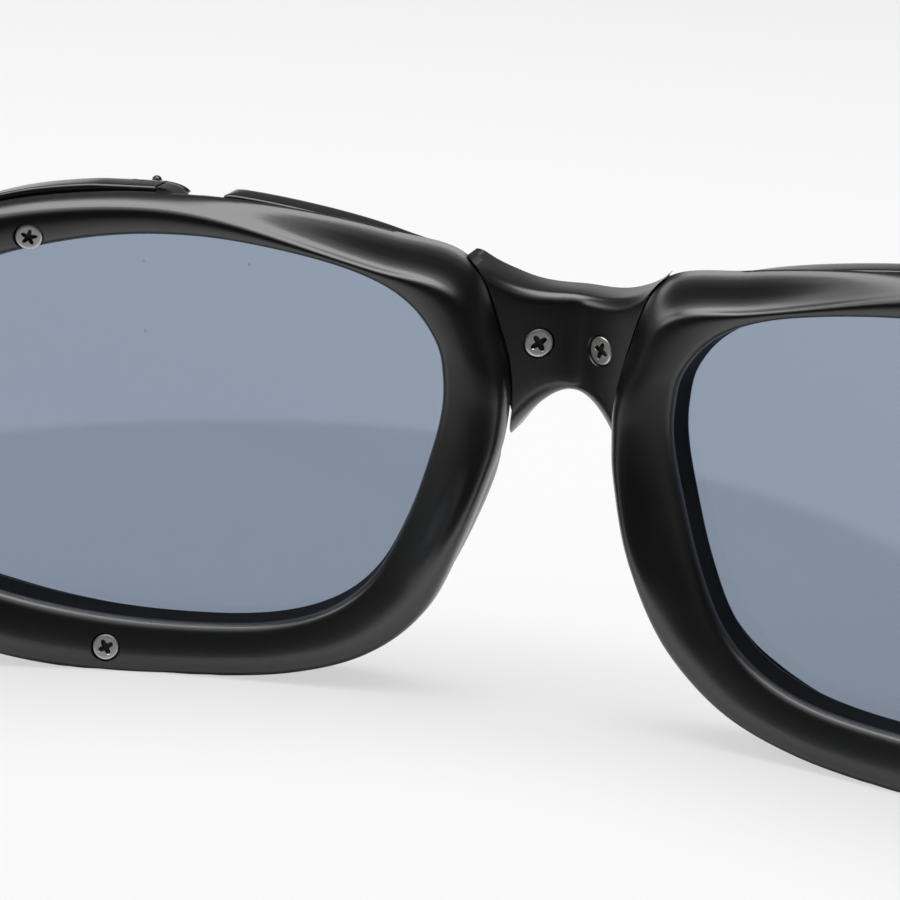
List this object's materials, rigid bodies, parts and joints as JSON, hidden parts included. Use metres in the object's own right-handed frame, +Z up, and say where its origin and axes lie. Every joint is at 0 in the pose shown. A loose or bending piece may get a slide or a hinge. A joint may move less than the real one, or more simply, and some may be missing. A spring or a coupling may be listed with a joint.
{
  "type": "flip up sunglasses",
  "caption": "Wrapped black sunglasses whose tinted lens unit flips up on brow hinges and whose temples fold flat behind the front.",
  "frame": {"origin": "middle of the object's box at the level it stands on, temples open and lenses down", "axes": "+X to the wearer's left, +Y from the lenses back along the temples, +Z up"},
  "size_m": [0.1476, 0.156, 0.0452],
  "materials": {
    "frame": "satin black moulded frame with soft sheen",
    "front": "satin black moulded rim",
    "core": "black painted steel",
    "plate": "black painted brow plate with worn edge",
    "leaf": "dark grey steel",
    "screw": "bright turned steel",
    "magnet": "plain nickel plated",
    "lens": "see-through grey tint, polished",
    "sleeve": "matt soft sleeve"
  },
  "bodies": {
    "chassis": {"bridge": "frame", "bridge_core": "core", "bridge_screws": "screw", "rear_rim_left": "frame", "rear_rim_right": "frame", "rim_screws": "screw", "hinge_leaf_left": "leaf", "hinge_leaf_right": "leaf", "flip_pins": "screw", "rim_catches": "leaf", "endpiece_left": "frame", "endpiece_right": "frame", "fold_pins": "screw"},
    "flip_unit": {"front_rim_left": "front", "front_rim_right": "front", "lens_left": "lens", "lens_right": "lens", "outer_plate_left": "plate", "outer_plate_right": "plate", "inner_plate_left": "plate", "inner_plate_right": "plate", "front_magnets": "magnet", "centre_link": "front", "link_screws": "screw"},
    "arm_left": {"temple_left": "frame", "tip_left": "sleeve"},
    "arm_right": {"temple_right": "frame", "tip_right": "sleeve"}
  },
  "joints": [
    {"name": "flip_hinge", "type": "hinge", "parent": "chassis", "child": "flip_unit", "pos_m": [0, -0.06619, 0.04434], "axis": [-1, 0, 0], "range_deg": [0, 90]},
    {"name": "fold_hinge_left", "type": "hinge", "parent": "chassis", "child": "arm_left", "pos_m": [0.0706, -0.03959, 0.02974], "axis": [0, 0, 1], "range_deg": [0, 90]},
    {"name": "fold_hinge_right", "type": "hinge", "parent": "chassis", "child": "arm_right", "pos_m": [-0.0706, -0.03959, 0.02974], "axis": [0, 0, -1], "range_deg": [0, 82]}
  ]
}
